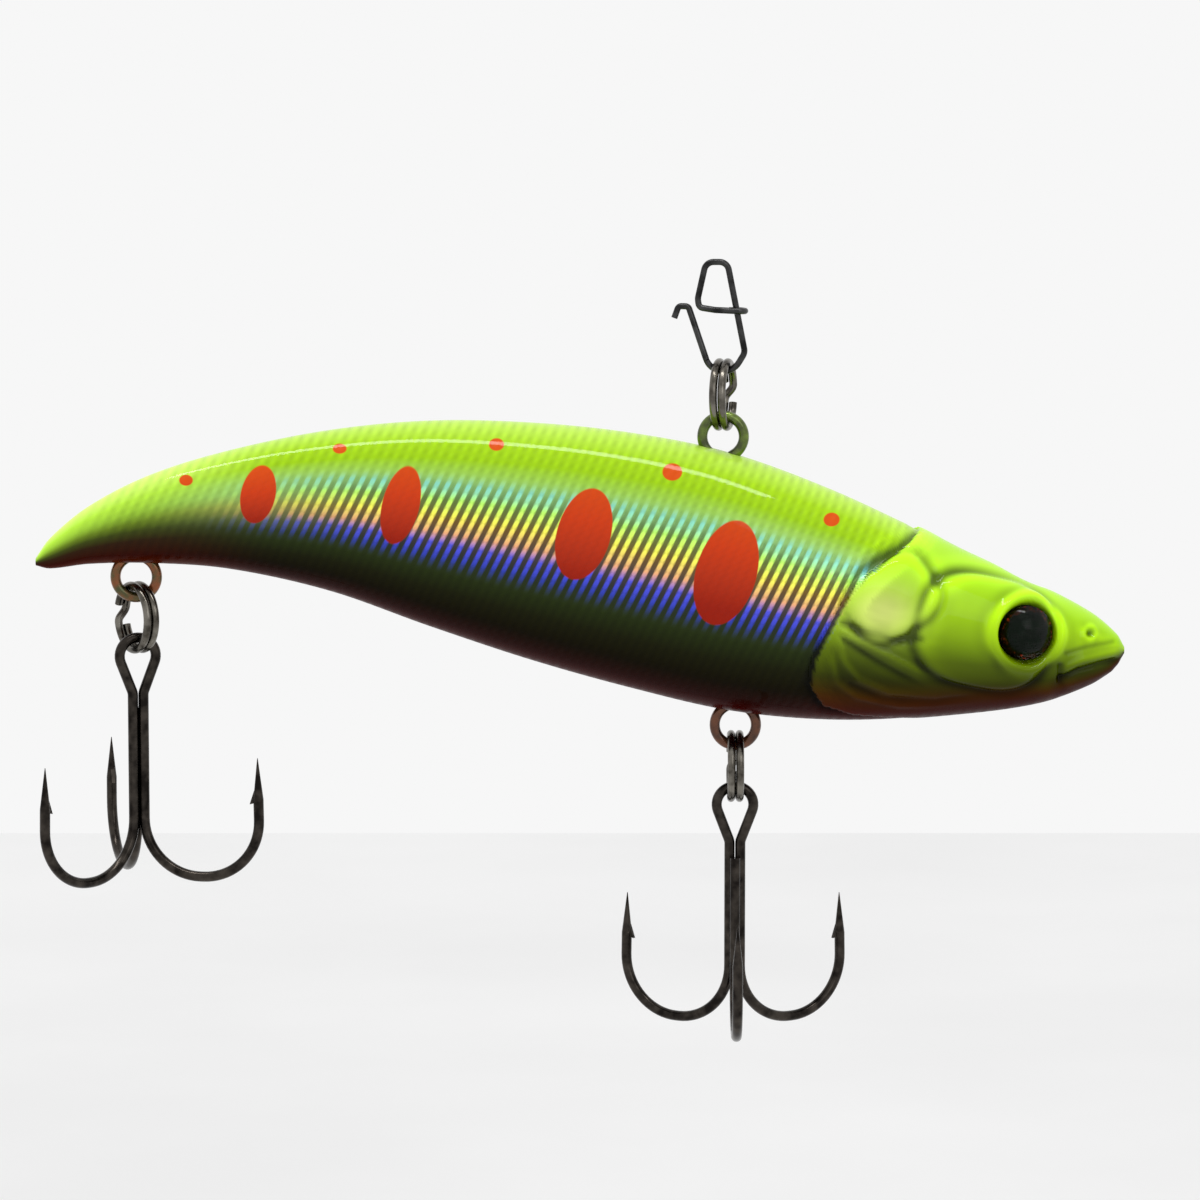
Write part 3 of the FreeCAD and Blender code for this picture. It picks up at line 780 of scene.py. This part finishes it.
def relief(x: Array, z: Array) -> Array:
    """How far the head's details stand out of the smooth body.

    Args:
        x: mm from the tail.
        z: mm from the back above the line tie.

    Returns:
        Height along the normal in mm.
    """
    height = GillCover().height_at(x, z)
    for detail in (*PLATES, *LINES, EYE_RIM):
        height += detail.height_at(x, z)
    radius = np.hypot(x - FISH_EYE_X, z - FISH_EYE_Z)
    height *= 1 - smoothstep(*SOCKET_CLEAR, radius)
    height -= SOCKET_DEPTH * smoothstep(*SOCKET_WALL, radius)
    for detail in NOSTRILS_AND_CHIN:
        height += detail.height_at(x, z)
    return height * smoothstep(*NOSE_FADE, x)


# Paint by height on the flank, from the belly at 0 to the back at 1, in display values. The back is
# chartreuse and the belly orange-red; painted shade and painted dark reflection darken the lower flank and
# the belly, and a painted highlight makes the top of the back paler.
TRUNK_PAINT_AND_SHADE = (
    (0.00, (58, 0, 0)),
    (0.06, (34, 2, 0)),
    (0.13, (16, 10, 0)),
    (0.22, (22, 24, 0)),
    (0.30, (32, 44, 6)),
    (0.38, (48, 62, 26)),
    (0.46, (92, 104, 60)),
    (0.56, (150, 160, 80)),
    (0.66, (150, 196, 110)),
    (0.76, (150, 198, 88)),
    (0.84, (148, 196, 4)),
    (0.92, (158, 206, 10)),
    (1.00, (184, 226, 84)),
)
TAIL_PAINT_AND_SHADE = (
    (0.00, (74, 22, 2)),
    (0.12, (50, 6, 0)),
    (0.30, (44, 22, 0)),
    (0.42, (56, 66, 6)),
    (0.52, (96, 122, 16)),
    (0.66, (150, 196, 50)),
    (0.80, (174, 225, 60)),
    (1.00, (214, 250, 120)),
)
HEAD_PAINT_AND_SHADE = (
    (0.00, (50, 0, 0)),
    (0.07, (48, 6, 0)),
    (0.14, (52, 26, 0)),
    (0.23, (42, 46, 0)),
    (0.36, (74, 92, 0)),
    (0.52, (126, 162, 0)),
    (0.68, (150, 196, 2)),
    (0.84, (154, 206, 20)),
    (1.00, (168, 220, 56)),
)


def banded(share: Array, bands: Sequence[tuple[float, Colour]]) -> Array:
    """Colours by height on the flank.

    Args:
        share: height from the belly at 0 to the back at 1.
        bands: heights and display colours.

    Returns:
        Linear colours, with one more axis than share.
    """
    heights = [height for height, _ in bands]
    colours = np.array([srgb(*colour) for _, colour in bands])
    return np.stack([np.interp(share, heights, colours[:, k]) for k in range(3)], axis=-1)


# A pale yellow-white patch on the gill cover, and how much of it shows.
GILL_PALE_PATCH = srgb(206, 214, 122)
GILL_PALE_PATCH_STRENGTH = 0.75


@dataclass
class BodySkin:
    """The body as one closed mesh, sculpted and painted by vertex."""

    frame: BodyFrame
    columns: int = 440
    rows: int = 216
    tail_tip: float = 0.0012
    nose_tip: float = 0.9998
    crowding: float = 1.45
    tail_blend: Point = (22.0, 8.0)
    head_blend: Point = (73.0, 80.0)
    head_start: Point = (64.0, 68.0)
    pale_patch_middle: Point = (73.4, -13.2)
    pale_patch_half: Point = (2.6, 2.0)
    foil_bottom: Point = (0.30, 0.44)
    foil_top: Point = (0.80, 0.66)
    foil_start: Point = (14.0, 32.0)
    scales_start: Point = (1.0, 9.0)
    scales_bottom: Point = (0.02, 0.12)
    shade_steps: tuple[int, ...] = (-9, -6, -3, 3, 6, 9)
    shade_strength: float = 2.6
    shade_limits: Point = (0.25, 1.45)
    socket_shade: Point = (2.75, 2.45)

    def build(self) -> Any:
        """Makes the mesh with its paint.

        Returns:
            The Blender object.
        """
        spread = np.linspace(0, 1, self.columns)
        place = self.tail_tip + (self.nose_tip - self.tail_tip) * (1 - (1 - spread) ** self.crowding)
        angle = 2 * math.pi * np.arange(self.rows) / self.rows - math.pi / 2
        top = outline_at(place, 1)[:, None] * BODY_DEPTH
        bottom = outline_at(place, 2)[:, None] * BODY_DEPTH
        offset = float(outline_at(np.array([TIE_PLACE]), 1)[0]) * BODY_DEPTH
        half_width = outline_at(place, 3)[:, None] * BODY_WIDTH / 2
        cosine = np.cos(angle)
        side = np.sign(cosine) * np.abs(cosine) ** SECTION_FULLNESS
        x = np.repeat(place[:, None] * BODY_LENGTH, self.rows, axis=1)
        y = half_width * side
        z = (top + bottom) / 2 + (top - bottom) / 2 * np.sin(angle) - offset
        smooth = np.stack([x, y, z], axis=-1)
        along = np.gradient(smooth, axis=0)
        around = np.roll(smooth, -1, axis=1) - np.roll(smooth, 1, axis=1)
        normal = np.cross(around, along)
        normal /= np.maximum(np.linalg.norm(normal, axis=-1, keepdims=True), 1e-9)
        outward = np.sign((normal[..., 1] * y).sum()) or 1.0
        normal *= outward
        points = smooth + normal * relief(x, z)[..., None]
        share = (z + offset - bottom) / (top - bottom)
        return self.mesh(points, x, z, share)

    def paint(self, x: Array, z: Array, share: Array) -> tuple[Array, Array, Array]:
        """Colours with painted shade and painted highlight, foil and scale masks.

        Args:
            x: mm from the tail.
            z: mm from the back.
            share: height on the flank.

        Returns:
            Linear colours, the foil mask and the mask of the embossed scales.
        """
        trunk = banded(share, TRUNK_PAINT_AND_SHADE)
        tail = banded(share, TAIL_PAINT_AND_SHADE)
        head = banded(share, HEAD_PAINT_AND_SHADE)
        distance, side = line_distance(GILL_EDGE, x, z)
        to_head = np.where(side > 0, smoothstep(-0.2, 0.15, distance), 0.0)
        to_head = np.maximum(to_head, smoothstep(*self.head_blend, x))
        to_head *= smoothstep(*self.head_start, x)
        to_tail = smoothstep(*self.tail_blend, x)[..., None]
        colours = trunk * (1 - to_tail) + tail * to_tail
        colours = colours * (1 - to_head[..., None]) + head * to_head[..., None]
        # The pale patch on the gill cover.
        u = (x - self.pale_patch_middle[0]) / self.pale_patch_half[0]
        v = (z - self.pale_patch_middle[1]) / self.pale_patch_half[1]
        pale_patch = GILL_PALE_PATCH_STRENGTH * np.exp(-(u**2 + v**2))[..., None]
        colours = colours * (1 - pale_patch) + np.array(GILL_PALE_PATCH) * pale_patch
        # Painted shade in the grooves and eye sockets, painted highlight on the ridges.
        colours = colours * self.shade(x, z)[..., None]
        band = smoothstep(*self.foil_bottom, share) * smoothstep(*self.foil_top, share)
        foil = band * smoothstep(*self.foil_start, x) * (1 - to_head)
        scales = (1 - to_head) * smoothstep(*self.scales_start, x) * smoothstep(*self.scales_bottom, share)
        return colours, foil, scales

    def shade(self, x: Array, z: Array) -> Array:
        """Painted shade in the relief's grooves and the eye sockets, and a painted highlight on its ridges.

        Args:
            x: mm from the tail.
            z: mm from the back.

        Returns:
            What the paint is multiplied by.
        """
        height = relief(x, z)
        shifts = [np.roll(height, step, axis) for axis in (0, 1) for step in self.shade_steps]
        contrast = height - sum(shifts) / len(shifts)
        shade = np.clip(1 + self.shade_strength * contrast, *self.shade_limits)
        socket = smoothstep(*self.socket_shade, np.hypot(x - FISH_EYE_X, z - FISH_EYE_Z))
        return shade * (1 - socket) + self.shade_limits[0] * socket

    def mesh(self, points: Array, x: Array, z: Array, share: Array) -> Any:
        """Turns the grid into a closed mesh object.

        Args:
            points: the sculpted grid, in body mm.
            x: mm from the tail.
            z: mm from the back.
            share: height on the flank.

        Returns:
            The Blender object.
        """
        shift = np.array([self.frame.tie_x - TIE_PLACE * BODY_LENGTH, 0, self.frame.back_z])
        count = self.columns * self.rows
        grid = np.arange(count).reshape(self.columns, self.rows)
        low, right = grid[:-1], np.roll(grid, -1, axis=1)[:-1]
        high, high_right = grid[1:], np.roll(grid, -1, axis=1)[1:]
        faces = np.stack([low, right, high_right, high], axis=-1).reshape(-1, 4).tolist()
        tail, nose = count, count + 1
        faces += [[tail, grid[0, (j + 1) % self.rows], grid[0, j]] for j in range(self.rows)]
        faces += [[nose, grid[-1, j], grid[-1, (j + 1) % self.rows]] for j in range(self.rows)]
        ends = np.array([points[0].mean(axis=0), points[-1].mean(axis=0)])
        vertices = (np.concatenate([points.reshape(-1, 3), ends]) + shift) * MM
        made = bpy.data.meshes.new("body_skin")
        made.from_pydata(vertices.tolist(), [], faces)
        made.shade_smooth()
        colours, foil, scales = self.paint(x, z, share)
        values = np.concatenate([colours.reshape(-1, 3), colours[0, :1], colours[-1, :1]])
        values = np.clip(np.concatenate([values, np.ones((len(values), 1))], axis=1), 0, 1)
        made.attributes.new("paint", "FLOAT_COLOR", "POINT").data.foreach_set("color", values.ravel())
        for name, mask in (("foil", foil), ("trunk", scales), ("share", share)):
            values = np.concatenate([mask.ravel(), mask[0, :1], mask[-1, :1]])
            made.attributes.new(name, "FLOAT", "POINT").data.foreach_set("value", values)
        made.update()
        skin = bpy.data.objects.new("body_skin", made)
        bpy.context.scene.collection.objects.link(skin)
        made.materials.append(SkinFinish(self.frame).build())
        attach(skin, "body")
        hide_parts("left_shell", "right_shell")
        return skin


# ---- Carried-over nodes ------------------------------------------------------------------------------
@dataclass(frozen=True)
class Hardware:
    """The wire, hooks, weights, balls and fish eyes, which keep their CAD shapes."""

    frame: BodyFrame
    metals: tuple[tuple[str, Metal], ...] = (
        ("hook", Metal.HOOK),
        ("split_ring", Metal.RING),
        ("snap", Metal.SNAP),
        ("line_tie_eye", Metal.TIE_EYE),
        ("belly_eye", Metal.BELLY_EYE),
        ("tail_eye", Metal.TAIL_EYE),
        ("weight", Metal.WEIGHT),
        ("back_rattle", Metal.STEEL_BALL),
        ("head_rattle", Metal.BRASS_BALL),
    )

    def materials(self) -> dict[str, Any]:
        """Makes the materials.

        Returns:
            Part of a node's name to the material it takes.
        """
        made = {key: metal.value.build() for key, metal in self.metals}
        made["eye_disc"] = EyeDiscFinish(self.frame).build()
        made["eye_lens"] = EyeLensFinish().build()
        made["shell"] = SkinFinish(self.frame).build()
        return made

    def dress(self, nodes: dict[str, Any]) -> None:
        """Gives every CAD node its material.

        Args:
            nodes: node name to Blender object.
        """
        materials = self.materials()
        for name, node in nodes.items():
            material = next(materials[key] for key in materials if key in name)
            node.data.materials.clear()
            node.data.materials.append(material)
            LOG.info("node %s: %s", name, material.name)


# ---- Camera, light and floor -------------------------------------------------------------------------
@dataclass(frozen=True)
class Softbox:
    """A rectangular light: its place and size in metres, and its power in watts."""

    name: str
    place: tuple[float, float, float]
    size: tuple[float, float]
    watts: float


@dataclass(frozen=True)
class Studio:
    """Where the camera stands, and the light and floor round the lure. Distances are in metres."""

    target: tuple[float, float, float] = (-0.01006, 0.0, -0.0291)
    distance: float = 0.47
    elevation: float = 7.0
    field_width: float = 0.1043
    floor_z: float = -0.55
    floor_half: float = 3.0
    world_strength: float = 0.93
    softboxes: tuple[Softbox, ...] = (
        Softbox("strip", (-0.05, -0.10, 0.42), (0.5, 0.05), 1.2),
        Softbox("front", (0.25, -0.5, 0.22), (0.3, 0.3), 0.35),
    )

    def camera(self) -> None:
        """Makes the camera, and sets it as the scene's."""
        lens = bpy.data.cameras.new("camera")
        lens.sensor_width = 36.0
        lens.lens = lens.sensor_width * self.distance / self.field_width
        lens.clip_start = 0.01
        made = bpy.data.objects.new("camera", lens)
        bpy.context.scene.collection.objects.link(made)
        tilt = math.radians(self.elevation)
        back = Vector((0, -math.cos(tilt), math.sin(tilt)))
        made.location = Vector(self.target) + back * self.distance
        made.rotation_euler = (math.pi / 2 - tilt, 0, 0)
        bpy.context.scene.camera = made

    def light(self, softbox: Softbox) -> None:
        """Adds an area light that looks at the lure.

        Args:
            softbox: the light.
        """
        lamp = bpy.data.lights.new(softbox.name, "AREA")
        lamp.shape = "RECTANGLE"
        lamp.size, lamp.size_y = softbox.size
        lamp.energy = softbox.watts
        made = bpy.data.objects.new(softbox.name, lamp)
        bpy.context.scene.collection.objects.link(made)
        made.location = softbox.place
        aim = Vector(self.target) - Vector(softbox.place)
        made.rotation_euler = aim.to_track_quat("-Z", "Y").to_euler()

    def world(self) -> None:
        """Makes the plain white surroundings."""
        world = bpy.data.worlds.new("studio")
        world.use_nodes = True
        background = world.node_tree.nodes["Background"]
        background.inputs[0].default_value = (1.0, 1.0, 1.0, 1)
        background.inputs[1].default_value = self.world_strength
        bpy.context.scene.world = world
        bpy.context.scene.view_settings.view_transform = "Standard"

    def floor(self) -> None:
        """Makes the pale floor."""
        half, z = self.floor_half, self.floor_z
        corners = [(-half, -half, z), (half, -half, z), (half, half, z), (-half, half, z)]
        mesh = bpy.data.meshes.new("floor")
        mesh.from_pydata(corners, [], [(0, 1, 2, 3)])
        graph = NodeGraph("floor")
        tone = graph.ramp(graph.noise(3.0), [(0.3, srgb(244, 244, 244)), (0.7, srgb(250, 250, 250))])
        graph.finish(Base_Color=tone, Roughness=0.9)
        mesh.materials.append(graph.material)
        floor = bpy.data.objects.new("floor", mesh)
        bpy.context.scene.collection.objects.link(floor)

    def build(self) -> None:
        """Makes the camera, the world, the lights and the floor."""
        self.camera()
        self.world()
        for softbox in self.softboxes:
            self.light(softbox)
        self.floor()


def main() -> None:
    """Builds the whole scene on the frame."""
    logging.basicConfig(level=logging.INFO)
    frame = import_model()
    Studio().build()
    body = BodyFrame.from_eye()
    LOG.info("body frame %s", body)
    skin = BodySkin(body).build()
    LOG.info("skin %d faces", len(skin.data.polygons))
    Hardware(body).dress(frame["nodes"])


if __name__ == "__main__":
    main()
